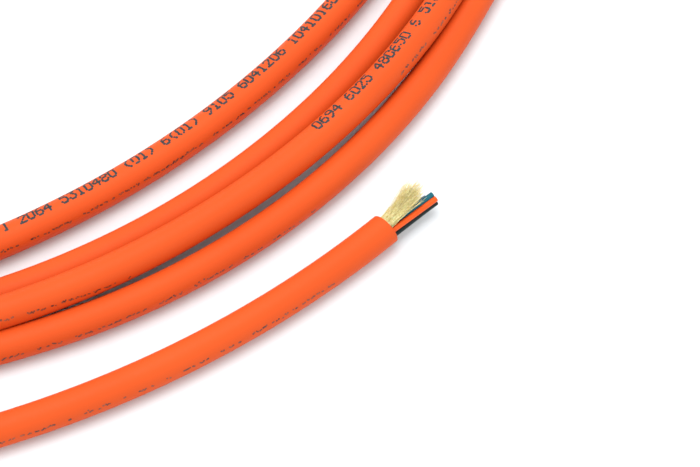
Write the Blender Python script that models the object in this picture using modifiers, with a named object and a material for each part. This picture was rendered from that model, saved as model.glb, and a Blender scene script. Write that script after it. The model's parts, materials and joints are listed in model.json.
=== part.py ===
"""Loose coil of indoor fibre-optic cable: six tight-buffered fibres and aramid yarn in a round PVC jacket.

The cable lies on a flat surface in five laps, held once by a hook-and-loop strap.
Its near end is stripped, with the fibres and yarn standing clear of the jacket. Its far end is cut square.
Units are metres, +Z is up, and the origin is under the middle of the whole part.
"""

from math import atan2, cos, degrees, radians, sin, sqrt

import bmesh
import bpy
from mathutils import Matrix, Vector

MM = 0.001
UP = Vector((0, 0, 1))

# The cable, by its layers.
CABLE_R = 2.45 * MM
BORE_R = 1.9 * MM
BUFFER_R = 0.45 * MM
BUFFER_BORE_R = 0.18 * MM
GLASS_R = 0.125 * MM
BUFFER_RING_R = 0.95 * MM
FACE_GAP = 0.3 * MM
SLANTED_FACE_GAP = 0.7 * MM

# The coil: each lap that lies open is an arc about a centre of its own, given from the middle of the coil.
COIL_CENTRE = Vector((0.8, 3.48, 0)) * MM
ARC_OF_LAP = {
    "tail": (-3.9 * MM, 12.7 * MM, 156.0 * MM),
    "outer": (15.3 * MM, -14.8 * MM, 111.0 * MM),
    "middle": (3.6 * MM, -2.3 * MM, 118.3 * MM),
    "inner": (-17.5 * MM, 22.2 * MM, 141.0 * MM),
}
# At the strap the laps lie side by side in lanes about the coil's middle, and the upper lap nests on top.
PITCH = 2 * CABLE_R + 0.05 * MM
RING_R = 125.6 * MM
LANE = {"inner": RING_R - PITCH, "middle": RING_R, "outer": RING_R + PITCH, "tail": RING_R + 2 * PITCH}
NEST_LIFT = PITCH * sqrt(0.75)
PERCH_LIFT = 2.3 * MM
CLIMB_LIFT, CLIMB_OUT = 1.0 * MM, 1.0 * MM
CROSSING_LIFT = 5.0 * MM
CROSSED_R = 136.3 * MM
FREE_END_R = 110.5 * MM

# Places along a lap are degrees about the coil's middle. They run clockwise, so they fall along the cord.
LAP_START = -31.0
LAP_END = LAP_START - 360
OPEN_END = -72.0
STRAP_AT = -233.0
LANES_START = -205.0
LANES_END = -259.0
STRIPPED_AT = -44.8
FREE_END_AT = -300.0
# The coil's solid takes the two end laps in from here.
TAIL_JOINS_AT = -125.0
FREE_LEAVES_AT = -275.0
SLEEVE_TURN = 8.0
OUTLINE_STEP = 3.75

# The strap.
STRAP_W = 12.7 * MM
STRAP_T = 1.3 * MM
STRAP_LIFT = 1.6 * MM
LIFTED_WITHIN, FLAT_BEYOND = 16, 34
COIL_H = 10.9 * MM


def smooth(x, start, end):
    """0 before start, 1 after end, and an S-curve between."""
    s = min(max((x - start) / (end - start), 0.0), 1.0)
    return s * s * (3 - 2 * s)


def glide(angle, start, before, end, after):
    """Cubic that leaves the curve before at start and joins the curve after at end, in line with both."""
    span = end - start
    s = (angle - start) / span
    a, b = before(start), after(end)
    slope_a, slope_b = ((f(at + 0.5) - f(at - 0.5)) * span for f, at in ((before, start), (after, end)))
    square, cube = 3 * (b - a) - 2 * slope_a - slope_b, 2 * (a - b) + slope_a + slope_b
    return a + s * slope_a + s * s * square + s**3 * cube


def arc(lap):
    """A lap's open arc, as the distance from the coil's middle at an angle."""
    x, y, radius = ARC_OF_LAP[lap]

    def distance(angle):
        along = x * cos(radians(angle)) + y * sin(radians(angle))
        return along + sqrt(radius**2 - x * x - y * y + along**2)

    return distance


def lane(lap):
    return lambda angle: LANE[lap]


def beside(lift):
    """How far out a strand lies from one that it touches, when it lies this much higher."""
    return sqrt(PITCH**2 - lift**2)


def upper_lift(angle):
    """The upper lap leans on the middle one where the coil lies open, and rises to nest on it at the strap."""
    return PERCH_LIFT + (NEST_LIFT - PERCH_LIFT) * smooth(-angle, 45, 150)


# From the near end to the strap, each lap lies on its own arc, then closes up against the middle lap.
def climb(angle):
    """How far, from 0 to 1, the upper lap has climbed onto the outer one."""
    return 1 - smooth(abs(angle - LAP_START), 0, 24)


def middle_lap(angle):
    if angle > OPEN_END:
        return arc("middle")(angle)
    if angle > LANES_START:
        return glide(angle, OPEN_END, arc("middle"), LANES_START, lane("middle"))
    return RING_R


def inner_lap(angle):
    beside_at = -108.0
    if angle > OPEN_END:
        return arc("inner")(angle)
    if angle > beside_at:
        gap = glide(angle, OPEN_END, lambda a: middle_lap(a) - arc("inner")(a), beside_at, lambda a: PITCH)
        return middle_lap(angle) - gap
    return middle_lap(angle) - PITCH


def outer_lap(angle):
    open_end, beside_at = -66.0, -88.0

    def against_upper(a):
        return middle_lap(a) + 2 * beside(upper_lift(a))

    if angle > open_end:
        return arc("outer")(angle)
    if angle > beside_at:
        return glide(angle, open_end, arc("outer"), beside_at, against_upper)
    return against_upper(angle)


def tail_lap(angle):
    lane_at = -190.0
    if angle > OPEN_END:
        return arc("tail")(angle)
    if angle > lane_at:
        return glide(angle, OPEN_END, arc("tail"), lane_at, lane("tail"))
    return LANE["tail"]


# From the strap on, each lap goes over into the next lap's place.
def outer_to_middle(angle):
    return glide(angle, LANES_END, lane("outer"), LAP_END, lambda a: arc("middle")(a + 360))


def middle_to_inner(angle):
    part_at = -334.0

    def open_gap(a):
        return arc("middle")(a) - arc("inner")(a)

    if angle > part_at:
        return outer_to_middle(angle) - PITCH
    return outer_to_middle(angle) - glide(angle, part_at, lambda a: PITCH, LAP_END, open_gap)


def tail_to_upper(angle):
    lift = PERCH_LIFT * smooth(-angle, 338, 378)
    up = climb(angle + 360)
    return outer_to_middle(angle) + beside(lift) + CLIMB_OUT * up, lift + CLIMB_LIFT * up


def upper_to_outer(angle):
    down_at = -335.0
    lift = NEST_LIFT + (CROSSING_LIFT - NEST_LIFT) * smooth(-angle, 259, 280)
    lift -= CROSSING_LIFT * smooth(-angle, 308, 349)
    if angle > down_at:
        return glide(angle, LANES_END, lambda a: RING_R + PITCH / 2, down_at, lambda a: CROSSED_R), lift
    return glide(angle, down_at, lambda a: CROSSED_R, LAP_END, arc("outer")), lift


def inner_to_end(angle):
    return glide(angle, LANES_END, lane("inner"), FREE_END_AT, lambda a: FREE_END_R)


def lap_place(lap, angle):
    """A lap's distance from the coil's middle, and how far it lies above the surface."""
    if lap == "upper" and angle > LANES_END:
        up, lift = climb(angle), upper_lift(angle)
        return middle_lap(angle) + beside(lift) + CLIMB_OUT * up, lift + CLIMB_LIFT * up
    if lap == "upper":
        return upper_to_outer(angle)
    if lap == "tail" and angle <= LANES_END:
        return tail_to_upper(angle)
    before = {"tail": tail_lap, "outer": outer_lap, "middle": middle_lap, "inner": inner_lap}
    beyond = {"outer": outer_to_middle, "middle": middle_to_inner, "inner": inner_to_end}
    return (before if angle > LANES_END else beyond)[lap](angle), 0.0


def spot(lap, angle):
    """The point on a lap's centre line at an angle."""
    radius, lift = lap_place(lap, angle)
    lift += STRAP_LIFT * (1 - smooth(abs(angle - STRAP_AT), LIFTED_WITHIN, FLAT_BEYOND))
    return COIL_CENTRE + Vector((radius * cos(radians(angle)), radius * sin(radians(angle)), CABLE_R + lift))


def cable_frame(lap, angle, way):
    """A point on a lap, and the directions along the cable, to its side and up there.
    way is -1 or 1: against the angle or with it."""
    here, ahead = spot(lap, angle), spot(lap, angle + 0.5 * way)
    along = (ahead - here).normalized()
    side = along.cross(UP).normalized()
    return here, along, side, side.cross(along)


def steps(start, end, count):
    return [start + (end - start) * i / count for i in range(count + 1)]


# Scene and materials.
for old in list(bpy.data.objects):
    bpy.data.objects.remove(old)
coil_parts = bpy.data.collections.new("stripped_cable_coil")
cutters = bpy.data.collections.new("cutters")
bpy.context.scene.collection.children.link(coil_parts)
bpy.context.scene.collection.children.link(cutters)


def material(name, colour, roughness):
    made = bpy.data.materials.new(name)
    made.use_nodes = True
    shader = made.node_tree.nodes["Principled BSDF"]
    shader.inputs["Base Color"].default_value = (*colour, 1)
    shader.inputs["Roughness"].default_value = roughness
    shader.inputs["Metallic"].default_value = 0
    return made


JACKET_PVC = material("orange_pvc", (0.98, 0.15, 0.04), 0.5)
ARAMID = material("aramid_yarn", (0.85, 0.66, 0.22), 0.7)
GLASS = material("fibre_glass", (0.85, 0.9, 0.92), 0.1)
STRAP_NYLON = material("strap_nylon", (0.02, 0.02, 0.022), 0.85)
BUFFER_COLOUR = {
    "blue": (0.02, 0.28, 0.42),
    "orange": (0.95, 0.26, 0.05),
    "green": (0.03, 0.24, 0.12),
    "brown": (0.2, 0.08, 0.04),
    "slate": (0.25, 0.28, 0.3),
    "white": (0.85, 0.85, 0.82),
}
BUFFER_PVC = {name: material(f"buffer_{name}", colour, 0.4) for name, colour in BUFFER_COLOUR.items()}


# Ways to make a piece.
def add(name, data, finish):
    piece = bpy.data.objects.new(name, data)
    coil_parts.objects.link(piece)
    data.materials.append(finish)
    return piece


def line(name, points, radius, sides=2, caps=True, widths=None):
    """A tube curve through the points. widths scales its radius at each of them."""
    curve = bpy.data.curves.new(name, "CURVE")
    curve.dimensions = "3D"
    curve.bevel_depth = radius
    curve.bevel_resolution = sides
    curve.use_fill_caps = caps
    spline = curve.splines.new("POLY")
    spline.points.add(len(points) - 1)
    for i, point in enumerate(points):
        spline.points[i].co = (*point, 1)
        spline.points[i].radius = widths[i] if widths else 1
    return curve


def tube(name, points, radius, finish, sides=2, widths=None):
    return add(name, line(name, points, radius, sides, True, widths), finish)


def as_mesh(piece):
    """The piece again as a closed mesh, with the curve's loose caps welded on."""
    bpy.context.view_layer.update()
    evaluated = piece.evaluated_get(bpy.context.evaluated_depsgraph_get())
    mesh = bpy.data.meshes.new_from_object(evaluated)
    shape = bmesh.new()
    shape.from_mesh(mesh)
    bmesh.ops.remove_doubles(shape, verts=shape.verts, dist=0.001 * MM)
    shape.to_mesh(mesh)
    shape.free()
    name, world = piece.name, piece.matrix_world.copy()
    for home in list(piece.users_collection):
        home.objects.unlink(piece)
    bpy.data.objects.remove(piece)
    made = bpy.data.objects.new(name, mesh)
    mesh.name = name
    made.matrix_world = world
    coil_parts.objects.link(made)
    return made


def sleeve(name, points, outer_r, bore_r, finish, sides=2):
    """A hollow tube with open ends: the outer skin, made solid inwards."""
    piece = as_mesh(add(name, line(name, points, outer_r, sides, False), finish))
    wall = piece.modifiers.new("wall", "SOLIDIFY")
    wall.thickness = outer_r - bore_r
    wall.offset = -1
    wall.use_even_offset = True
    piece.data.shade_smooth()
    return piece


def flat_solid(name, outlines, thickness, finish):
    """A flat shape inside its first outline, less the others, standing half its thickness each way."""
    curve = bpy.data.curves.new(name, "CURVE")
    curve.dimensions = "2D"
    curve.fill_mode = "BOTH"
    curve.extrude = thickness / 2
    for outline in outlines:
        spline = curve.splines.new("POLY")
        spline.points.add(len(outline) - 1)
        spline.use_cyclic_u = True
        for i, (x, y) in enumerate(outline):
            spline.points[i].co = (x, y, 0, 1)
    return add(name, curve, finish)


# The laps that lie together: one solid of their outer shape, with a step where each end lap joins them.
def laps_at(angle):
    laps = ["upper", "outer", "middle"]
    if angle <= TAIL_JOINS_AT:
        laps.append("tail")
    if angle >= FREE_LEAVES_AT:
        laps.append("inner")
    return laps


def coil_edge(angle, outwards):
    reach = [lap_place(lap, angle)[0] for lap in laps_at(angle)]
    return max(reach) + CABLE_R if outwards else min(reach) - CABLE_R


def coil_outline(outwards, step_at):
    """One round of the coil's edge. Two points a hair apart make the step."""
    hair = 0.001
    turn = [LAP_START - OUTLINE_STEP * i for i in range(round(360 / OUTLINE_STEP))]
    turn = [a for a in turn if abs(a - step_at) > 1] + [step_at + hair, step_at - hair]
    turn.sort(reverse=True)
    edges = [(coil_edge(a, outwards), radians(a)) for a in turn]
    return [(r * cos(a), r * sin(a)) for r, a in edges]


coil = flat_solid(
    "cable_coil",
    [coil_outline(True, TAIL_JOINS_AT), coil_outline(False, FREE_LEAVES_AT)],
    COIL_H, JACKET_PVC,
)
coil.location = COIL_CENTRE + UP * (COIL_H / 2)
coil = as_mesh(coil)

# The strap passes under the coil, which lies a little higher there.
RECESS = Vector((34 * MM, 68 * MM, 2 * STRAP_LIFT))
bpy.ops.mesh.primitive_cube_add(size=1)
recess = bpy.context.object
recess.name = "strap_recess"
recess.scale = RECESS
strap_way = Vector((cos(radians(STRAP_AT)), sin(radians(STRAP_AT)), 0))
recess.rotation_euler.z = atan2(strap_way.y, strap_way.x)
recess.location = COIL_CENTRE + strap_way * (RING_R + PITCH / 2)
for home in list(recess.users_collection):
    home.objects.unlink(recess)
cutters.objects.link(recess)
recess.hide_render = True
recess.display_type = "WIRE"
cut = coil.modifiers.new("strap_recess", "BOOLEAN")
cut.operation = "DIFFERENCE"
cut.object = recess

# The stretch from the stripped end to the coil, and the free end inside it.
turn_per_gap = degrees(FACE_GAP / LANE["tail"])
sleeve_end = STRIPPED_AT - SLEEVE_TURN
tail_turn = steps(sleeve_end - turn_per_gap, TAIL_JOINS_AT + turn_per_gap, 16)
tube("cable_tail", [spot("tail", a) for a in tail_turn], CABLE_R, JACKET_PVC)
far_sleeve_start = FREE_END_AT + SLEEVE_TURN
turn_per_slanted_gap = degrees(SLANTED_FACE_GAP / LANE["inner"])
far_turn = steps(FREE_LEAVES_AT - turn_per_slanted_gap, far_sleeve_start + turn_per_gap, 4)
tube("far_tail", [spot("inner", a) for a in far_turn], CABLE_R, JACKET_PVC)

# Both ends of the jacket, cut open.
NEAR_TURN = steps(sleeve_end, STRIPPED_AT, 5)
FAR_TURN = steps(far_sleeve_start, FREE_END_AT, 4)
sleeve("jacket_end", [spot("tail", a) for a in NEAR_TURN], CABLE_R, BORE_R, JACKET_PVC, 6)
sleeve("far_jacket_end", [spot("inner", a) for a in FAR_TURN], CABLE_R, BORE_R, JACKET_PVC, 6)

# The buffered fibres stand round each other in the standard colour order. At the near end the bundle
# lies against the jacket's outer side, and its bare stretch leans a little that way.
COLOUR_ORDER = ("blue", "orange", "green", "white", "brown", "slate")
FIRST_TURN = 107.0
BUNDLE_SHIFT = 0.46 * MM
BUNDLE_SHIFT_TURN = -23.0
LEAN = 0.045
REACH = {"blue": 9.3, "orange": 9.2, "green": 9.2, "white": 8.0, "brown": 8.3, "slate": 8.1}


def ring_place(index, shift):
    """A buffer's place in the cable's section: to its side, and up."""
    turn = radians(FIRST_TURN - 60 * index)
    shift_turn = radians(BUNDLE_SHIFT_TURN)
    return (
        BUFFER_RING_R * cos(turn) + shift * cos(shift_turn),
        BUFFER_RING_R * sin(turn) + shift * sin(shift_turn),
    )


def inside(lap, angles, way, place):
    """Points along the cable at a place in its section, from the jacket's depth to its cut."""
    found = []
    for angle in angles:
        here, along, side, up = cable_frame(lap, angle, way)
        found.append(here + side * place[0] + up * place[1])
    return found


for i, colour in enumerate(COLOUR_ORDER):
    place = ring_place(i, BUNDLE_SHIFT)
    points = inside("tail", NEAR_TURN, 1, place)
    _, along, side, up = cable_frame("tail", STRIPPED_AT, 1)
    reach = REACH[colour] * MM
    points += [points[-1] + along * s + side * LEAN * s for s in (0.33 * reach, 0.67 * reach, reach)]
    sleeve(f"buffer_{colour}", points, BUFFER_R, BUFFER_BORE_R, BUFFER_PVC[colour])
    tube(f"glass_{colour}", points, GLASS_R, GLASS)

for i, colour in enumerate(COLOUR_ORDER):
    points = inside("inner", FAR_TURN, -1, ring_place(i, 0.0))
    sleeve(f"far_buffer_{colour}", points, BUFFER_R, BUFFER_BORE_R, BUFFER_PVC[colour])
    tube(f"far_glass_{colour}", points, GLASS_R, GLASS)

# Aramid yarn: a thin layer round the far end's fibres, and tufts on the open side of the near end's.
YARN_OUTER_R = 1.75 * MM
YARN_INNER_R = 1.5 * MM
sleeve("far_aramid_yarn", inside("inner", FAR_TURN, -1, (0, 0)), YARN_OUTER_R, YARN_INNER_R, ARAMID, 6)

TUFT_R = 0.3 * MM
TUFT_PLACE_R = 1.52 * MM
TUFTS = {
    # where it leaves the section, in degrees, and its tip: out of the cut, to the side and up, in millimetres
    "upper": (128.0, (5.8, -1.0, 2.3)),
    "middle": (103.5, (7.5, -0.8, 2.0)),
    "lower": (79.0, (6.8, 0.1, 1.1)),
}
for name, (turn, tip) in TUFTS.items():
    place = (TUFT_PLACE_R * cos(radians(turn)), TUFT_PLACE_R * sin(radians(turn)))
    points = inside("tail", NEAR_TURN[2:], 1, place)
    _, along, side, up = cable_frame("tail", STRIPPED_AT, 1)
    base = points[-1]
    for part in (0.15, 0.4, 0.7, 1.0):
        out, across, rise = (v * MM for v in tip)
        points.append(base + along * out * part + side * across * part**1.5 + up * rise * part**1.5)
    widths = [1.0] * (len(points) - 3) + [1.1, 0.8, 0.3]
    tube(f"aramid_tuft_{name}", points, TUFT_R, ARAMID, widths=widths)

# The hook-and-loop strap: a band round the laps, lapped over itself on top. It can be slid along the coil.
STRAP_IN = LANE["inner"] - CABLE_R - FACE_GAP
STRAP_OUT = LANE["tail"] + CABLE_R + FACE_GAP
STRAP_TOP = COIL_H + FACE_GAP


def corner(x, y, radius, start):
    """A quarter arc about (x, y), counter-clockwise from start degrees."""
    turns = [radians(start + t) for t in (0, 30, 60, 90)]
    return [(x + radius * cos(turn), y + radius * sin(turn)) for turn in turns]


def band(low_x, low_y, high_x, high_y, radius):
    return (
        corner(high_x - radius, low_y + radius, radius, -90)
        + corner(high_x - radius, high_y - radius, radius, 0)
        + corner(low_x + radius, high_y - radius, radius, 90)
        + corner(low_x + radius, low_y + radius, radius, 180)
    )


outer_corner, inner_corner = 2.0 * MM, 0.7 * MM
top = STRAP_TOP + STRAP_T
outline = band(STRAP_IN - STRAP_T, 0, STRAP_OUT + STRAP_T, top, outer_corner)
flap_in, flap_out, flap_end = 121.5 * MM, STRAP_OUT - 1.0 * MM, 0.4 * MM
right = [p for p in outline if p[0] > RING_R]
left = [p for p in outline if p[0] <= RING_R]
flap = [(flap_out, top), (flap_out - STRAP_T, top + STRAP_T)]
flap += [(flap_in + flap_end, top + STRAP_T), (flap_in, top)]
outline = right + flap + left
strap = flat_solid(
    "tie_strap",
    [outline, band(STRAP_IN, STRAP_T, STRAP_OUT, STRAP_TOP, inner_corner)],
    STRAP_W, STRAP_NYLON,
)
tangent = UP.cross(strap_way)
strap.matrix_world = Matrix.Translation(COIL_CENTRE) @ Matrix((strap_way, UP, -tangent)).transposed().to_4x4()
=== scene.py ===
"""Looks for a loose coil of stripped six-fibre indoor cable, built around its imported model."""

import json
from math import cos, pi, radians, sin, sqrt
from random import Random

import bpy
import numpy as np
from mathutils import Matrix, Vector


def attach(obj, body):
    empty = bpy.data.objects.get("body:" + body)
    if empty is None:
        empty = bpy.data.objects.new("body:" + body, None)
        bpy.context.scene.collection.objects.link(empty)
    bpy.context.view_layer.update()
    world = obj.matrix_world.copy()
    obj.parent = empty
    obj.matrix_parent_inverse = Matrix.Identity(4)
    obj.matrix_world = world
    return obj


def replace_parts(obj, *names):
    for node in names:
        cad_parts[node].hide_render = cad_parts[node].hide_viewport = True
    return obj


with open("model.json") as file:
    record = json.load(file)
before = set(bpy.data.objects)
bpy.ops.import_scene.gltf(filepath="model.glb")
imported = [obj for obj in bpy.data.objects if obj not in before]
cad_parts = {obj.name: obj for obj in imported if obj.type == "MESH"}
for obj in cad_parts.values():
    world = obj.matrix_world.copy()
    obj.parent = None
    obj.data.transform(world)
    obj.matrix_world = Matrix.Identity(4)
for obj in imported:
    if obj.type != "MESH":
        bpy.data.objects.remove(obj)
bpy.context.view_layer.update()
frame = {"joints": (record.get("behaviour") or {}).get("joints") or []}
MM = 0.001
UP = Vector((0, 0, 1))

# ---------------------------------------------------------------------------------------------------------
# Camera. It looks down at 60 degrees on the stripped end, with the laps sweeping past on the left.
# The middle of the coil is the strap joint's axis, and the view is aimed from there.
COIL_MIDDLE = Vector(frame["joints"][0]["pos_m"])
AIM_FROM_MIDDLE = Vector((97, -101, 0)) * MM
CAMERA_AWAY = 445.5 * MM
CAMERA_ELEVATION = radians(60)

camera = bpy.data.objects.new("camera", bpy.data.cameras.new("camera"))
bpy.context.scene.collection.objects.link(camera)
camera.data.sensor_width = 36
camera.data.lens = 154.3
camera.data.clip_start = 0.01
aim = COIL_MIDDLE + AIM_FROM_MIDDLE
camera.location = aim + CAMERA_AWAY * Vector((0, -cos(CAMERA_ELEVATION), sin(CAMERA_ELEVATION)))
camera.rotation_euler = (pi / 2 - CAMERA_ELEVATION, 0, 0)
bpy.context.scene.camera = camera

# ---------------------------------------------------------------------------------------------------------
# Route of the cable: five laps wound one way by hand, laid flat and held together on the far side. PVC this
# thick keeps a wide even bend, so each open lap is an arc, and the laps close up side by side at the strap,
# with the upper lap nested on top. Angles are degrees about the coil's middle, and fall along the cord.
CABLE_R = 2.45 * MM
# The centre of each open arc, out from the coil's middle, and its radius.
ARC_OF_LAP = {
    "tail": (-3.9 * MM, 12.7 * MM, 156.0 * MM),
    "outer": (15.3 * MM, -14.8 * MM, 111.0 * MM),
    "middle": (3.6 * MM, -2.3 * MM, 118.3 * MM),
    "inner": (-17.5 * MM, 22.2 * MM, 141.0 * MM),
}
PITCH = 2 * CABLE_R + 0.05 * MM
RING_R = 125.6 * MM
LANE = {"inner": RING_R - PITCH, "middle": RING_R, "outer": RING_R + PITCH, "tail": RING_R + 2 * PITCH}
# How high the upper lap lies: nested between two laps, leaning on one, where it climbs on, or crossing.
NEST_LIFT = PITCH * sqrt(0.75)
PERCH_LIFT = 2.3 * MM
CLIMB_LIFT, CLIMB_OUT, CLIMB_FADE = 1.0 * MM, 1.0 * MM, 24
CROSSING_LIFT = 5.0 * MM
CROSSED_R = 136.3 * MM
FREE_END_R = 110.5 * MM
# The strap's tape runs under the laps, and lifts them within some degrees of it.
STRAP_LIFT, LIFTED_WITHIN, FLAT_BEYOND = 1.6 * MM, 16, 34
LAP_START, LAP_END = -31.0, -391.0
OPEN_END = -72.0
LANES_START, STRAP_AT, LANES_END = -205.0, -233.0, -259.0
STRIPPED_AT, FREE_END_AT = -44.8, -300.0


def smooth(x, start, end):
    """Rises from 0 at start to 1 at end, level at both."""
    s = min(max((x - start) / (end - start), 0.0), 1.0)
    return s * s * (3 - 2 * s)


def glide(angle, start, before, end, after):
    """Cubic that leaves the curve before at start and joins the curve after at end, in line with both."""
    span = end - start
    s = (angle - start) / span
    a, b = before(start), after(end)
    slope_a, slope_b = ((f(at + 0.5) - f(at - 0.5)) * span for f, at in ((before, start), (after, end)))
    square, cube = 3 * (b - a) - 2 * slope_a - slope_b, 2 * (a - b) + slope_a + slope_b
    return a + s * slope_a + s * s * square + s**3 * cube


def arc(lap):
    """A lap's open arc, as the distance from the coil's middle at an angle."""
    x, y, radius = ARC_OF_LAP[lap]

    def distance(angle):
        along = x * cos(radians(angle)) + y * sin(radians(angle))
        return along + sqrt(radius**2 - x * x - y * y + along**2)

    return distance


def lane(lap):
    return lambda angle: LANE[lap]


def beside(lift):
    """How far out a lap lies that touches the one before it and is lifted."""
    return sqrt(PITCH**2 - lift**2)


def upper_lift(angle):
    """The upper lap leans on the middle one where the coil lies open, and rises to nest at the strap."""
    return PERCH_LIFT + (NEST_LIFT - PERCH_LIFT) * smooth(-angle, 45, 150)


def climb(angle):
    """How far, from 0 to 1, the upper lap has climbed onto the outer one."""
    return 1 - smooth(abs(angle - LAP_START), 0, CLIMB_FADE)


def middle_lap(angle):
    if angle > OPEN_END:
        return arc("middle")(angle)
    if angle > LANES_START:
        return glide(angle, OPEN_END, arc("middle"), LANES_START, lane("middle"))
    return RING_R


def inner_lap(angle):
    beside_at = -108.0
    if angle > OPEN_END:
        return arc("inner")(angle)
    if angle > beside_at:
        gap = glide(angle, OPEN_END, lambda a: middle_lap(a) - arc("inner")(a), beside_at, lambda a: PITCH)
        return middle_lap(angle) - gap
    return middle_lap(angle) - PITCH


def outer_lap(angle):
    open_end, beside_at = -66.0, -88.0

    def against_upper(a):
        return middle_lap(a) + 2 * beside(upper_lift(a))

    if angle > open_end:
        return arc("outer")(angle)
    if angle > beside_at:
        return glide(angle, open_end, arc("outer"), beside_at, against_upper)
    return against_upper(angle)


def tail_lap(angle):
    lane_at = -190.0
    if angle > OPEN_END:
        return arc("tail")(angle)
    if angle > lane_at:
        return glide(angle, OPEN_END, arc("tail"), lane_at, lane("tail"))
    return LANE["tail"]


def outer_to_middle(angle):
    return glide(angle, LANES_END, lane("outer"), LAP_END, lambda a: arc("middle")(a + 360))


def middle_to_inner(angle):
    part_at = -334.0

    def open_gap(a):
        return arc("middle")(a) - arc("inner")(a)

    if angle > part_at:
        return outer_to_middle(angle) - PITCH
    return outer_to_middle(angle) - glide(angle, part_at, lambda a: PITCH, LAP_END, open_gap)


def tail_to_upper(angle):
    lift = PERCH_LIFT * smooth(-angle, 338, 378)
    up = climb(angle + 360)
    return outer_to_middle(angle) + beside(lift) + CLIMB_OUT * up, lift + CLIMB_LIFT * up


def upper_to_outer(angle):
    down_at = -335.0
    lift = NEST_LIFT + (CROSSING_LIFT - NEST_LIFT) * smooth(-angle, 259, 280)
    lift -= CROSSING_LIFT * smooth(-angle, 308, 349)
    if angle > down_at:
        return glide(angle, LANES_END, lambda a: RING_R + PITCH / 2, down_at, lambda a: CROSSED_R), lift
    return glide(angle, down_at, lambda a: CROSSED_R, LAP_END, arc("outer")), lift


def inner_to_end(angle):
    return glide(angle, LANES_END, lane("inner"), FREE_END_AT, lambda a: FREE_END_R)


def lap_place(lap, angle):
    """A lap's distance from the coil's middle, and how far it lies above the surface."""
    if lap == "upper" and angle > LANES_END:
        up, lift = climb(angle), upper_lift(angle)
        return middle_lap(angle) + beside(lift) + CLIMB_OUT * up, lift + CLIMB_LIFT * up
    if lap == "upper":
        return upper_to_outer(angle)
    if lap == "tail" and angle <= LANES_END:
        return tail_to_upper(angle)
    before = {"tail": tail_lap, "outer": outer_lap, "middle": middle_lap, "inner": inner_lap}
    beyond = {"outer": outer_to_middle, "middle": middle_to_inner, "inner": inner_to_end}
    return (before if angle > LANES_END else beyond)[lap](angle), 0.0


def spot(lap, angle):
    """The point of the centre line at an angle on a lap."""
    radius, lift = lap_place(lap, angle)
    lift += STRAP_LIFT * (1 - smooth(abs(angle - STRAP_AT), LIFTED_WITHIN, FLAT_BEYOND))
    turn = radians(angle)
    return COIL_MIDDLE + Vector((radius * cos(turn), radius * sin(turn), CABLE_R + lift))


ROUTE_STEP = 1.0
route = []
for lap in ("tail", "upper", "outer", "middle", "inner"):
    first = STRIPPED_AT if lap == "tail" else LAP_START
    last = FREE_END_AT if lap == "inner" else LAP_END
    count = round((first - last) / ROUTE_STEP)
    route += [spot(lap, first + (last - first) * i / count) for i in range(count)]
route.append(spot("inner", FREE_END_AT))
route = np.array(route)
route_at = np.concatenate([[0], np.cumsum(np.linalg.norm(np.diff(route, axis=0), axis=1))])
CORD_LENGTH = route_at[-1]


def on_route(at):
    """Points on the centre line at distances from the stripped end, with the directions along the cable,
    outwards and up. Beyond an end the line goes on straight."""
    at = np.atleast_1d(np.asarray(at, float))
    held = np.clip(at, 0, CORD_LENGTH)
    points = np.stack([np.interp(held, route_at, route[:, k]) for k in range(3)], 1)
    step = 1.5 * MM
    ahead, behind = np.clip(held + step, 0, CORD_LENGTH), np.clip(held - step, 0, CORD_LENGTH)
    along = np.stack([np.interp(ahead, route_at, route[:, k]) for k in range(3)], 1)
    along -= np.stack([np.interp(behind, route_at, route[:, k]) for k in range(3)], 1)
    along /= np.linalg.norm(along, axis=1)[:, None]
    points += along * (at - held)[:, None]
    out = np.cross(np.array([0, 0, 1.0]), along)
    out /= np.linalg.norm(out, axis=1)[:, None]
    return points, along, out, np.cross(along, out)


# ---------------------------------------------------------------------------------------------------------
# Jacket. Plenum-grade PVC, extruded over the fibres in bright orange: satin, a little waxy, faintly uneven
# where the yarn bears on it. Side cutters cut both ends, so each rim is rounded over and a little askew.
BORE_R = 1.9 * MM
CUT_ROUND = 0.09 * MM
CUT_SKEW = 0.16 * MM
CUT_SKEW_TURN = 0.4
CUT_REGION = 2.2 * MM
BORE_DEPTH = 14 * MM
JACKET_SIDES = 40


def to_linear(code):
    """An sRGB hex colour as the linear values that shaders take."""
    parts = [int(code[i : i + 2], 16) / 255 for i in (1, 3, 5)]
    return [p / 12.92 if p <= 0.04045 else ((p + 0.055) / 1.055) ** 2.4 for p in parts] + [1.0]


def add_node(tree, kind, inputs=None, **settings):
    """Adds a node with its settings. An input is a value, or another node's output to link."""
    made = tree.nodes.new(kind)
    for key, value in settings.items():
        setattr(made, key, value)
    for key, value in (inputs or {}).items():
        if isinstance(value, bpy.types.NodeSocket):
            tree.links.new(value, made.inputs[key])
        else:
            made.inputs[key].default_value = value
    return made


def new_material(name, **inputs):
    """A material with its Principled shader, whose plain inputs are given with _ for a space."""
    made = bpy.data.materials.new(name)
    made.use_nodes = True
    shader = made.node_tree.nodes["Principled BSDF"]
    for key, value in inputs.items():
        shader.inputs[key.replace("_", " ")].default_value = value
    return made, made.node_tree, shader


def mesh_piece(name, points, faces, materials, face_materials=None, smooth_faces=True):
    mesh = bpy.data.meshes.new(name)
    mesh.from_pydata([tuple(p) for p in points], [], [tuple(f) for f in faces])
    for made in materials:
        mesh.materials.append(made)
    if face_materials is not None:
        mesh.polygons.foreach_set("material_index", face_materials)
    mesh.polygons.foreach_set("use_smooth", [smooth_faces] * len(mesh.polygons))
    mesh.update()
    piece = bpy.data.objects.new(name, mesh)
    bpy.context.scene.collection.objects.link(piece)
    return piece


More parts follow.
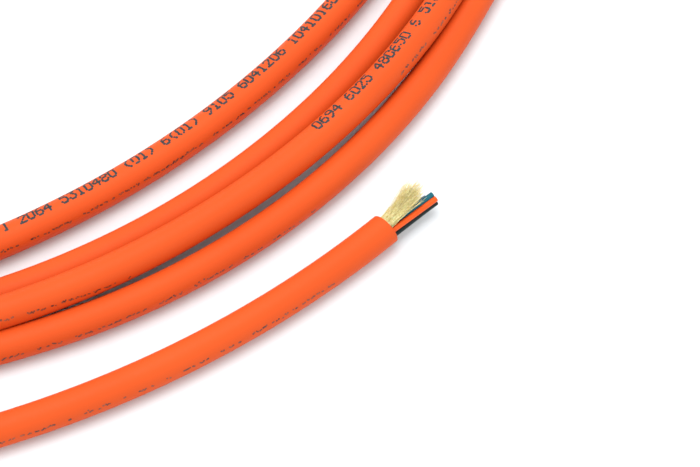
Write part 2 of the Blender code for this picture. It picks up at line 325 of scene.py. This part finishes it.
def loft(rings):
    """Points and faces of a closed skin through rings of equal count, with a fan over each end."""
    count, sides = len(rings), len(rings[0])
    points = [p for ring in rings for p in ring]
    faces = []
    for i in range(count - 1):
        for j in range(sides):
            k = (j + 1) % sides
            faces.append((i * sides + j, i * sides + k, (i + 1) * sides + k, (i + 1) * sides + j))
    for ring, order in ((0, -1), (count - 1, 1)):
        points.append(np.mean(rings[ring], axis=0))
        middle = len(points) - 1
        for j in range(sides):
            a, b = ring * sides + j, ring * sides + (j + 1) % sides
            faces.append((a, b, middle) if order > 0 else (b, a, middle))
    return points, faces


def jacket_profile():
    """(distance along, radius, share of the cut's skew): out of the near bore, over its rim, along the
    outside and into the far bore."""
    near = [(BORE_DEPTH, BORE_R, 0), (3 * MM, BORE_R, 0), (0.8 * MM, BORE_R, 1), (CUT_ROUND, BORE_R, 1)]
    for t in (30, 60, 90):
        turn = radians(t)
        near.append((CUT_ROUND * (1 - sin(turn)), BORE_R + CUT_ROUND * (1 - cos(turn)), 1))
    near.append((0, (BORE_R + CABLE_R) / 2, 1))
    for t in (0, 30, 60, 90):
        turn = radians(t)
        near.append((CUT_ROUND * (1 - cos(turn)), CABLE_R - CUT_ROUND * (1 - sin(turn)), 1))
    near += [(0.5 * MM, CABLE_R, 0.9), (1.2 * MM, CABLE_R, 0.4)]
    far = [(CORD_LENGTH - at, radius, -skew) for at, radius, skew in reversed(near)]
    body = [(at, CABLE_R, 0) for at in route_at if CUT_REGION < at < CORD_LENGTH - CUT_REGION]
    return near + body + far


profile = jacket_profile()
turns = np.linspace(0, 2 * pi, JACKET_SIDES, endpoint=False)
centres, alongs, outs, ups = on_route([p[0] for p in profile])
jacket_rings = []
for (at, radius, skew), centre, along, out, up in zip(profile, centres, alongs, outs, ups):
    around = np.outer(np.cos(turns), out) + np.outer(np.sin(turns), up)
    lean = CUT_SKEW * skew * np.cos(turns + CUT_SKEW_TURN)
    jacket_rings.append(centre + radius * around - lean[:, None] * along)

# Orange PVC, extruded: a weak broad sheen, a colour that drifts a little, fine grain and long shallow waves.
# The real grain is finer, and is drawn at half a millimetre so that it shows.
PIGMENT_DRIFT = 30 * MM
JACKET_GRAIN = 0.5 * MM
JACKET_WAVE = 7 * MM
orange_pvc, tree, shader = new_material("extruded_orange_pvc", Specular_IOR_Level=0.12, IOR=1.5)
where = add_node(tree, "ShaderNodeTexCoord").outputs["Object"]
drift = add_node(tree, "ShaderNodeTexNoise", {"Vector": where, "Scale": 1 / PIGMENT_DRIFT, "Detail": 3.0})
tint = add_node(tree, "ShaderNodeValToRGB", {"Fac": drift.outputs["Fac"]})
tint.color_ramp.elements[0].position = 0.35
tint.color_ramp.elements[0].color = to_linear("#CE4E1D")
tint.color_ramp.elements[1].position = 0.7
tint.color_ramp.elements[1].color = to_linear("#D45320")
grain = add_node(tree, "ShaderNodeTexNoise", {"Vector": where, "Scale": 1 / JACKET_GRAIN, "Detail": 4.0})
wave = add_node(tree, "ShaderNodeTexNoise", {"Vector": where, "Scale": 1 / JACKET_WAVE, "Detail": 1.0})
wave_bump = add_node(
    tree, "ShaderNodeBump", {"Height": wave.outputs["Fac"], "Strength": 0.5, "Distance": 0.12 * MM})
waves = wave_bump.outputs["Normal"]
bump = add_node(
    tree, "ShaderNodeBump",
    {"Height": grain.outputs["Fac"], "Strength": 0.35, "Distance": 0.02 * MM, "Normal": waves})
gloss = add_node(
    tree, "ShaderNodeMapRange",
    {"Value": grain.outputs["Fac"], "From Min": 0.3, "From Max": 0.7, "To Min": 0.44, "To Max": 0.56})
tree.links.new(tint.outputs["Color"], shader.inputs["Base Color"])
tree.links.new(gloss.outputs["Result"], shader.inputs["Roughness"])
tree.links.new(bump.outputs["Normal"], shader.inputs["Normal"])

points, faces = loft(jacket_rings)
jacket = mesh_piece("cable_jacket", points, faces, [orange_pvc])
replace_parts(jacket, "cable_coil", "cable_tail", "jacket_end", "far_tail", "far_jacket_end")
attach(jacket, "cable")

# ---------------------------------------------------------------------------------------------------------
# Ink marks. An ink-jet printer on the extrusion line lays dots seven rows high: here plain numerals in a
# long block, then a blank stretch. A quarter turn round the jacket a second head leaves a broken line of
# dots, which wanders as the cable turns under it and runs dry in places.
DOT_R = 0.215 * MM
WORN_DOT_R = 0.17 * MM
DOT_ROW = 0.29 * MM
DOT_COLUMN = 0.235 * MM
WORN_COLUMN = DOT_COLUMN * 0.8
DOT_SIDES = 6
# How far the dots stray along and round the jacket, and how many are missed.
DOT_STRAY, DOT_TURN_STRAY, DOT_MISSED = 0.02 * MM, 0.006, 0.03
CHARACTER_PITCH = 1.38 * MM
INK_R = CABLE_R + 0.008 * MM
BLOCK_LENGTH = 250 * MM
BLOCK_PERIOD = 1270 * MM
BLOCK_END = 848.6 * MM
LEGEND_TURN = radians(114)
# The broken line: how many dots a dash has and the gaps after it, its turn round the jacket at distances
# along the cable in millimetres, and the stretches where it is missing.
DASH_DOTS = (1, 2, 2, 3, 4, 6)
DASH_GAPS = (0.2, 0.3, 0.3, 0.5, 0.8, 2.0)
DASHES_MARGIN = 12 * MM
DASH_STRAY, WORN_DOT_STRAY = 0.02, 0.035
DASHES_AT = (0, 780, 832, 884, 892, 904, 1000, 1668, 1680, 1715, 3200, 3262, 3763)
DASHES_TURN = (17, 26, 26, 2, 16, 34, 17, 5, 12, 16, 16, 24, 18)
DASHES_DRY = ((833, 884), (1580, 1668))
# The dots of each character, as five columns of bits with the lowest bit at the top.
DIGITS = {
    "0": "3E 41 41 41 3E", "1": "00 42 7F 40 00", "2": "42 61 51 49 46", "3": "21 41 45 4B 31",
    "4": "18 14 12 7F 10", "5": "27 45 45 45 39", "6": "3C 4A 49 49 30", "7": "01 71 09 05 03",
    "8": "36 49 49 49 36", "9": "06 49 49 29 1E", "-": "08 08 08 08 08", ".": "00 60 60 00 00",
    "(": "00 1C 22 41 00", ")": "00 41 22 1C 00", " ": "00 00 00 00 00",
}
LEGEND = (
    "0694 6025 480650 6 51050 0900-1250 (49) 3600 4160 0125 2500 604 2012 (06) 0250 1 "
    "2064 5310480 (01) 6(01) 9105 6041206 104101604 125 "
)


def dots_of(character):
    """The columns and rows where a character has a dot."""
    return [
        (column, row)
        for column, bits in enumerate(int(code, 16) for code in DIGITS[character].split())
        for row in range(7)
        if bits >> row & 1
    ]


def ink_spots():
    """(distance along, turn round the jacket, radius, which ink) of every dot."""
    found = []
    random = Random(6)
    block_end = BLOCK_END
    while block_end < CORD_LENGTH:
        for i in range(int(BLOCK_LENGTH / CHARACTER_PITCH)):
            start = block_end - i * CHARACTER_PITCH
            for column, row in dots_of(LEGEND[i % len(LEGEND)]):
                at = start - column * DOT_COLUMN + random.gauss(0, DOT_STRAY)
                turn = LEGEND_TURN + (3 - row) * DOT_ROW / CABLE_R + random.gauss(0, DOT_TURN_STRAY)
                if random.random() > DOT_MISSED:
                    found.append((at, turn, DOT_R * random.uniform(0.85, 1.1), 0))
        block_end += BLOCK_PERIOD
    at = DASHES_MARGIN
    while at < CORD_LENGTH - DASHES_MARGIN:
        turn = radians(np.interp(at / MM, DASHES_AT, DASHES_TURN)) + random.gauss(0, DASH_STRAY)
        dry = any(start < at / MM < stop for start, stop in DASHES_DRY)
        for _ in range(random.choice(DASH_DOTS)):
            if not dry:
                strayed = turn + random.gauss(0, WORN_DOT_STRAY)
                found.append((at, strayed, WORN_DOT_R * random.uniform(0.8, 1.15), 1))
            at += WORN_COLUMN
        at += random.choice(DASH_GAPS) * MM
    return found


def dried_ink(name, dark, pale, thin, full, roughness):
    """Solvent ink dried on PVC: nearly matt, and patchy where it has run thin or rubbed off."""
    made, tree, shader = new_material(name, Roughness=roughness, IOR=1.5)
    where = add_node(tree, "ShaderNodeTexCoord").outputs["Object"]
    patch = add_node(tree, "ShaderNodeTexNoise", {"Vector": where, "Scale": 1 / INK_PATCH, "Detail": 2.0})
    tint = add_node(tree, "ShaderNodeValToRGB", {"Fac": patch.outputs["Fac"]})
    tint.color_ramp.elements[0].position = thin
    tint.color_ramp.elements[0].color = to_linear(dark)
    tint.color_ramp.elements[1].position = full
    tint.color_ramp.elements[1].color = to_linear(pale)
    tree.links.new(tint.outputs["Color"], shader.inputs["Base Color"])
    return made


INK_PATCH = 0.6 * MM
fresh_ink = dried_ink("dried_black_ink", "#0B1A1E", "#2A2F30", 0.4, 0.75, 0.55)
worn_ink = dried_ink("worn_brown_ink", "#3A1F18", "#A04A28", 0.35, 0.7, 0.5)

spots = np.array(ink_spots())
centres, alongs, outs, ups = on_route(spots[:, 0])
normals = np.cos(spots[:, 1])[:, None] * outs + np.sin(spots[:, 1])[:, None] * ups
acrosses = -np.sin(spots[:, 1])[:, None] * outs + np.cos(spots[:, 1])[:, None] * ups
points = np.empty((len(spots), DOT_SIDES, 3))
for j in range(DOT_SIDES):
    turn = 2 * pi * j / DOT_SIDES
    rim = (alongs * cos(turn) + acrosses * sin(turn)) * spots[:, 2, None]
    points[:, j] = centres + normals * INK_R + rim
faces = np.arange(len(spots) * DOT_SIDES).reshape(-1, DOT_SIDES)[:, ::-1]
which_ink = spots[:, 3].astype(int)
ink = mesh_piece("jacket_ink_marks", points.reshape(-1, 3), faces, [fresh_ink, worn_ink], which_ink, False)
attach(ink, "cable")

# ---------------------------------------------------------------------------------------------------------
# Tight-buffered fibres. Each is a coated glass fibre in a 0.9 mm PVC buffer, coloured right through in the
# standard order and extruded smooth. They were nipped off nearly square, with the glass a hair proud, and lie
# in a ring inside the yarn, pushed to one side of the bore.
BUFFER_R = 0.45 * MM
GLASS_R = 0.125 * MM
GLASS_PROUD = 0.03 * MM
BUFFER_RING_R = 0.95 * MM
BUFFER_TIP_ROUND = 0.06 * MM
# In millimetres: between points of a line, how far back it starts in the jacket, how far out it has taken its
# own way, and how far short of the far cut it ends.
BUFFER_STEP, BURIED, BARE, FAR_SHORT = 0.8, 12.0, 8, 0.1
FAR_POINTS = 13
BUNDLE_SHIFT = 0.46 * MM
BUNDLE_SHIFT_TURN = radians(-23)
BUFFER_LEAN = 0.045
FIRST_TURN = 107.0
BUFFER_SIDES = 24
BUFFERS = {
    # Its colour, how far it stands out of the cut in millimetres, and how it wanders sideways and up.
    "blue": ("#07606E", 9.3, (0.15, 0.0)),
    "orange": ("#EC5606", 9.2, (0.0, 0.0)),
    "green": ("#021B1B", 9.2, (-0.17, 0.0)),
    "white": ("#D8D8D2", 8.0, (0.0, 0.05)),
    "brown": ("#5C2F1D", 8.3, (0.0, 0.0)),
    "slate": ("#5A6A74", 8.1, (0.3, 0.0)),
}

# Drawn silica with its clear coating: it only shows as a small pale glint in the cut face.
CLEAVE_GRAIN = 0.08 * MM
PIGMENT_SPECK = 0.4 * MM
clear_glass, tree, shader = new_material(
    "drawn_silica", Base_Color=to_linear("#E9F2F4"), Roughness=0.05, IOR=1.46, Transmission_Weight=0.6)
where = add_node(tree, "ShaderNodeTexCoord").outputs["Object"]
cleave = add_node(tree, "ShaderNodeTexNoise", {"Vector": where, "Scale": 1 / CLEAVE_GRAIN, "Detail": 1.0})
bump = add_node(
    tree, "ShaderNodeBump", {"Height": cleave.outputs["Fac"], "Strength": 0.3, "Distance": 0.01 * MM})
tree.links.new(bump.outputs["Normal"], shader.inputs["Normal"])


def buffer_pvc(name, code):
    """Smooth PVC, coloured right through: a soft sheen, and specks of unmixed pigment that barely show."""
    made, tree, shader = new_material(f"buffer_pvc_{name}", Roughness=0.38, Specular_IOR_Level=0.22)
    where = add_node(tree, "ShaderNodeTexCoord").outputs["Object"]
    speck = add_node(tree, "ShaderNodeTexNoise", {"Vector": where, "Scale": 1 / PIGMENT_SPECK, "Detail": 3.0})
    full = to_linear(code)[:3]
    tint = add_node(tree, "ShaderNodeValToRGB", {"Fac": speck.outputs["Fac"]})
    tint.color_ramp.elements[0].position = 0.3
    tint.color_ramp.elements[0].color = [0.86 * c for c in full] + [1]
    tint.color_ramp.elements[1].position = 0.75
    tint.color_ramp.elements[1].color = [0.99 * c + 0.01 for c in full] + [1]
    bump = add_node(
        tree, "ShaderNodeBump", {"Height": speck.outputs["Fac"], "Strength": 0.25, "Distance": 0.015 * MM})
    tree.links.new(tint.outputs["Color"], shader.inputs["Base Color"])
    tree.links.new(bump.outputs["Normal"], shader.inputs["Normal"])
    return made


def strand(path, radii, round_sides):
    """Rings about a path, one at each of its points."""
    along = np.gradient(path, axis=0)
    along /= np.linalg.norm(along, axis=1)[:, None]
    side = np.cross(along, np.array([0, 0, 1.0]))
    side /= np.linalg.norm(side, axis=1)[:, None]
    up = np.cross(side, along)
    around = np.linspace(0, 2 * pi, round_sides, endpoint=False)
    out = np.cos(around)[:, None, None] * side + np.sin(around)[:, None, None] * up
    return [path[i] + radii[i] * out[:, i] for i in range(len(path))]


def buffered_fibre(name, line, finish):
    """A buffer with a rounded nip at both ends and its glass standing a hair proud of each."""
    line = np.asarray(line)
    start, stop = line[1] - line[0], line[-1] - line[-2]
    start, stop = start / np.linalg.norm(start), stop / np.linalg.norm(stop)
    tip, r = BUFFER_TIP_ROUND, BUFFER_R
    # How far out of the cut each ring of a nip lies, and its radius: the glass's bevel, then the buffer's.
    nip = [
        (GLASS_PROUD, GLASS_R * 0.9), (GLASS_PROUD - 0.005 * MM, GLASS_R), (-0.001 * MM, GLASS_R * 1.02),
        (-0.002 * MM, r - tip), (-0.3 * tip, r - 0.3 * tip), (-tip, r),
    ]
    path = [line[0] - start * proud for proud, _ in nip] + list(line[1:-1])
    path += [line[-1] + stop * proud for proud, _ in reversed(nip)]
    radii = [radius for _, radius in nip] + [r] * (len(line) - 2) + [radius for _, radius in reversed(nip)]
    points, faces = loft(strand(np.array(path), radii, BUFFER_SIDES))
    rows = len(path) - 1
    marks = [int(i < 3 or i >= rows - 2) for i in range(rows) for _ in range(BUFFER_SIDES)]
    marks += [1] * (2 * BUFFER_SIDES)
    return mesh_piece(name, points, faces, [finish, clear_glass], marks)


def section_point(at, place):
    """A point in the cable's section at a distance from the stripped end. place is outwards from the coil,
    and up."""
    centre, _, out, up = on_route(at)
    return centre[0] + out[0] * place[0] + up[0] * place[1]


def ring_place(index, shift):
    """Where a buffer lies in the section, with the whole ring shifted."""
    turn = radians(FIRST_TURN - 60 * index)
    return (
        BUFFER_RING_R * cos(turn) + shift * cos(BUNDLE_SHIFT_TURN),
        BUFFER_RING_R * sin(turn) + shift * sin(BUNDLE_SHIFT_TURN),
    )


for i, (name, (code, reach, wander)) in enumerate(BUFFERS.items()):
    finish = buffer_pvc(name, code)
    line = []
    for at in np.arange(BURIED, -reach, -BUFFER_STEP):
        out = max(-at, 0) * MM
        bare = smooth(-at, 0, BARE)
        x, y = ring_place(i, BUNDLE_SHIFT)
        place = (x + BUFFER_LEAN * out + wander[0] * bare * MM, y + wander[1] * bare * MM)
        line.append(section_point(at * MM, place))
    near = buffered_fibre(f"fibre_{name}", line, finish)
    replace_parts(near, f"buffer_{name}", f"glass_{name}")
    ends = np.linspace(BURIED, FAR_SHORT, FAR_POINTS)
    line = [section_point(CORD_LENGTH - at * MM, ring_place(i, 0)) for at in ends]
    far = buffered_fibre(f"far_fibre_{name}", line, finish)
    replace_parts(far, f"far_buffer_{name}", f"far_glass_{name}")
    for piece in (near, far):
        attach(piece, "cable")

# ---------------------------------------------------------------------------------------------------------
# Aramid yarn. Thousands of golden filaments lie round the fibres as the strength member. Once the jacket is
# off they splay, and cutters leave their ends ragged. Each drawn filament stands for a few dozen real ones.
FILAMENT_R = 0.034 * MM
FILAMENT_SIDES = 4
FILAMENT_STEPS = 10
TUFT_PLACE_R = 1.58 * MM
TUFT_FAN = 1.35
FAR_FILAMENTS = 96
FAR_PLACE_R = 1.62
TURN_STRAY, TIP_STRAY = 9, 0.42
TUFTS = {
    # Where it leaves the section in degrees, its tip in millimetres out of the cut, to the side and up, and
    # how many filaments it has.
    "upper": (119.0, (6.5, -0.8, 2.3), 150),
    "middle": (102.0, (7.8, -0.4, 2.1), 170),
    "lower": (75.0, (7.1, -0.32, 1.15), 170),
}

# Drawn aramid: golden, silky and slightly see-through, with paler strands where light gets into the bundle.
STRAND_GRAIN = 0.35 * MM
aramid, tree, shader = new_material(
    "aramid_filament", Roughness=0.45, IOR=1.6, Sheen_Weight=0.4, Subsurface_Weight=0.3,
    Subsurface_Scale=0.6 * MM)
where = add_node(tree, "ShaderNodeTexCoord").outputs["Object"]
strands = add_node(tree, "ShaderNodeTexNoise", {"Vector": where, "Scale": 1 / STRAND_GRAIN, "Detail": 3.0})
tint = add_node(tree, "ShaderNodeValToRGB", {"Fac": strands.outputs["Fac"]})
tint.color_ramp.elements[0].position = 0.3
tint.color_ramp.elements[0].color = to_linear("#D8B85E")
tint.color_ramp.elements[1].position = 0.7
tint.color_ramp.elements[1].color = to_linear("#FBEAA8")
tree.links.new(tint.outputs["Color"], shader.inputs["Base Color"])


def filaments(name, lines):
    """One mesh of fine tapered strands along the lines."""
    points, faces = [], []
    for line in lines:
        taper = [FILAMENT_R * (1 - 0.5 * i / (len(line) - 1)) for i in range(len(line))]
        some, more = loft(strand(np.asarray(line), taper, FILAMENT_SIDES))
        faces += [tuple(len(points) + v for v in face) for face in more]
        points += some
    piece = mesh_piece(name, points, faces, [aramid])
    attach(piece, "cable")
    return piece


random = Random(11)
for name, (turn, tip, count) in TUFTS.items():
    lines = []
    for _ in range(count):
        at_turn = radians(turn + random.gauss(0, TURN_STRAY))
        place_r = TUFT_PLACE_R + random.uniform(-0.12, 0.3) * MM
        x, y = place_r * cos(at_turn), place_r * sin(at_turn)
        cut = random.uniform(0.76, 0.99)
        spread = (random.gauss(0, TIP_STRAY), random.gauss(0, TIP_STRAY))
        curl, phase = random.uniform(0.0, 0.16), random.uniform(0, 2 * pi)
        line = [section_point(at * MM, (x, y)) for at in (6, 3, 1)]
        for i in range(1, FILAMENT_STEPS + 1):
            s = cut * i / FILAMENT_STEPS
            wave = curl * sin(phase + 5 * s) * s
            sideways = x + (tip[1] + spread[0]) * s**TUFT_FAN * MM + wave * MM
            lifted = y + (tip[2] + spread[1]) * s**TUFT_FAN * MM - wave * MM
            line.append(section_point(-tip[0] * s * MM, (sideways, lifted)))
        lines.append(line)
    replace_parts(filaments(f"yarn_{name}", lines), f"aramid_tuft_{name}")

lines = []
for i in range(FAR_FILAMENTS):
    turn = 2 * pi * i / FAR_FILAMENTS
    place_r = (FAR_PLACE_R + random.uniform(-0.1, 0.16)) * MM
    depth = random.uniform(-0.35, 0.25) * MM
    place = (place_r * cos(turn), place_r * sin(turn))
    lines.append([section_point(CORD_LENGTH - at, place) for at in (9 * MM, 6 * MM, 3 * MM, depth)])
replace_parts(filaments("far_yarn", lines), "far_aramid_yarn")

# ---------------------------------------------------------------------------------------------------------
# Strap. Half-inch hook-and-loop tape in black nylon, wrapped once round the laps with its end pressed down
# over its start. Its outer face is a pile of loops on a woven ground, with a flat bound edge on both sides.
STRAP_WIDTH = 12.7 * MM
STRAP_T = 1.3 * MM
STRAP_SLACK = 0.3 * MM
STRAP_IN = LANE["inner"] - CABLE_R - STRAP_SLACK
STRAP_OUT = LANE["tail"] + CABLE_R + STRAP_SLACK
STRAP_TOP = 11.2 * MM
STRAP_BEND = 1.4 * MM
TAPE_START = STRAP_OUT - 3 * MM
FLAP_END = 121.5 * MM
BOUND_EDGE = 1.0 * MM
BOUND_EDGE_RISE = 0.04 * MM
LOOP_PITCH = 0.42 * MM
LOOP_HEIGHT = 0.26 * MM

# Looped nylon: matt and dusty-looking, with a painted highlight on the crowns of the loops and painted shade,
# nearly black, between them. The pile itself is geometry, and the bump gives each loop its finer threads.
nylon, tree, shader = new_material(
    "looped_black_nylon", Roughness=0.85, Specular_IOR_Level=0.25, Sheen_Weight=0.25, Sheen_Roughness=0.5)
where = add_node(tree, "ShaderNodeTexCoord").outputs["Object"]
loops = add_node(tree, "ShaderNodeTexVoronoi", {"Vector": where, "Scale": 1 / LOOP_PITCH})
# The ramp paints a highlight on the crowns of the loops and shade, nearly black, in the hollows between them.
tint = add_node(tree, "ShaderNodeValToRGB", {"Fac": loops.outputs["Distance"]})
tint.color_ramp.elements[0].color = to_linear("#37383C")
tint.color_ramp.elements[1].color = to_linear("#0D0D10")
bump = add_node(
    tree, "ShaderNodeBump", {"Height": loops.outputs["Distance"], "Strength": 0.6, "Distance": 0.08 * MM})
tree.links.new(tint.outputs["Color"], shader.inputs["Base Color"])
tree.links.new(bump.outputs["Normal"], shader.inputs["Normal"])


def bend(x, z, start):
    """A quarter turn of the tape about (x, z), counter-clockwise from start degrees."""
    turns = [radians(start + t) for t in range(0, 91, 15)]
    return [(x + STRAP_BEND * cos(turn), z + STRAP_BEND * sin(turn)) for turn in turns]


# The middle of the tape, as distance from the coil's middle and height. It runs from its start on top inwards
# and down, back under the laps, up their outer side, and over its own start.
x_in, x_out = STRAP_IN - STRAP_T / 2 + STRAP_BEND, STRAP_OUT + STRAP_T / 2 - STRAP_BEND
z_under, z_over = STRAP_T / 2, STRAP_TOP + STRAP_T / 2
corners = [(TAPE_START, z_over)]
corners += bend(x_in, z_over - STRAP_BEND, 90) + bend(x_in, z_under + STRAP_BEND, 180)
corners += bend(x_out, z_under + STRAP_BEND, 270) + bend(x_out, z_over + STRAP_T - STRAP_BEND, 0)
corners = np.array(corners + [(FLAP_END, z_over + STRAP_T)])
corners_at = np.concatenate([[0], np.cumsum(np.linalg.norm(np.diff(corners, axis=0), axis=1))])
tape_at = np.arange(0, corners_at[-1], LOOP_PITCH / 2)
tape = np.stack([np.interp(tape_at, corners_at, corners[:, k]) for k in range(2)], 1)
ahead = np.gradient(tape, axis=0)
ahead /= np.linalg.norm(ahead, axis=1)[:, None]

strap_turn = radians(STRAP_AT)
radial = Vector((cos(strap_turn), sin(strap_turn), 0))
across = Vector((-sin(strap_turn), cos(strap_turn), 0))
rows = np.linspace(-STRAP_WIDTH / 2, STRAP_WIDTH / 2, 2 * int(STRAP_WIDTH / LOOP_PITCH) + 1)
random = Random(23)
strap_rings = []
for (x, z), (ahead_x, ahead_z) in zip(tape, ahead):
    face = []
    for row in rows:
        in_bound_edge = abs(row) > STRAP_WIDTH / 2 - BOUND_EDGE
        rise = BOUND_EDGE_RISE if in_bound_edge else random.uniform(0.1, 1.0) * LOOP_HEIGHT
        face.append((row, STRAP_T / 2 - LOOP_HEIGHT + rise))
    face += [(STRAP_WIDTH / 2, -STRAP_T / 2), (0, -STRAP_T / 2), (-STRAP_WIDTH / 2, -STRAP_T / 2)]
    ring = []
    for row, up in face:
        ring.append(COIL_MIDDLE + radial * (x + up * ahead_z) + across * row + UP * (z - up * ahead_x))
    strap_rings.append(ring)

points, faces = loft(strap_rings)
strap = mesh_piece("hook_and_loop_strap", points, faces, [nylon])
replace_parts(strap, "tie_strap")
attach(strap, "tie")

# ---------------------------------------------------------------------------------------------------------
# Floor and light. The coil lies on matt white paper, under one big soft box from behind on the left, in a
# bright white room that fills its shadows.
FLOOR_HALF = 2.5
PAPER_GRAIN = 2 * MM
SOFT_BOX_FROM_AIM = Vector((-0.25, 0.15, 1.1))
# Uncoated paper: matt, and just uneven enough in tone to have a grain.
paper, tree, shader = new_material("white_paper", Roughness=0.8)
where = add_node(tree, "ShaderNodeTexCoord").outputs["Object"]
fibre_grain = add_node(tree, "ShaderNodeTexNoise", {"Vector": where, "Scale": 1 / PAPER_GRAIN})
tint = add_node(tree, "ShaderNodeValToRGB", {"Fac": fibre_grain.outputs["Fac"]})
tint.color_ramp.elements[0].color = to_linear("#DCE1E4")
tint.color_ramp.elements[1].color = to_linear("#E1E6E8")
tree.links.new(tint.outputs["Color"], shader.inputs["Base Color"])
square = [(x * FLOOR_HALF, y * FLOOR_HALF, 0) for x, y in ((-1, -1), (1, -1), (1, 1), (-1, 1))]
floor = mesh_piece("floor", square, [(0, 1, 2, 3)], [paper])

world = bpy.data.worlds.new("room")
bpy.context.scene.world = world
world.use_nodes = True
world.node_tree.nodes["Background"].inputs["Color"].default_value = to_linear("#FFFFFF")
world.node_tree.nodes["Background"].inputs["Strength"].default_value = 1.2

key = bpy.data.objects.new("soft_box", bpy.data.lights.new("soft_box", "AREA"))
bpy.context.scene.collection.objects.link(key)
key.data.shape = "RECTANGLE"
key.data.size, key.data.size_y = 1.0, 0.8
key.data.energy = 9
key.location = aim + SOFT_BOX_FROM_AIM
key.rotation_euler = (aim - key.location).to_track_quat("-Z", "Y").to_euler()
bpy.context.scene.view_settings.view_transform = "Standard"
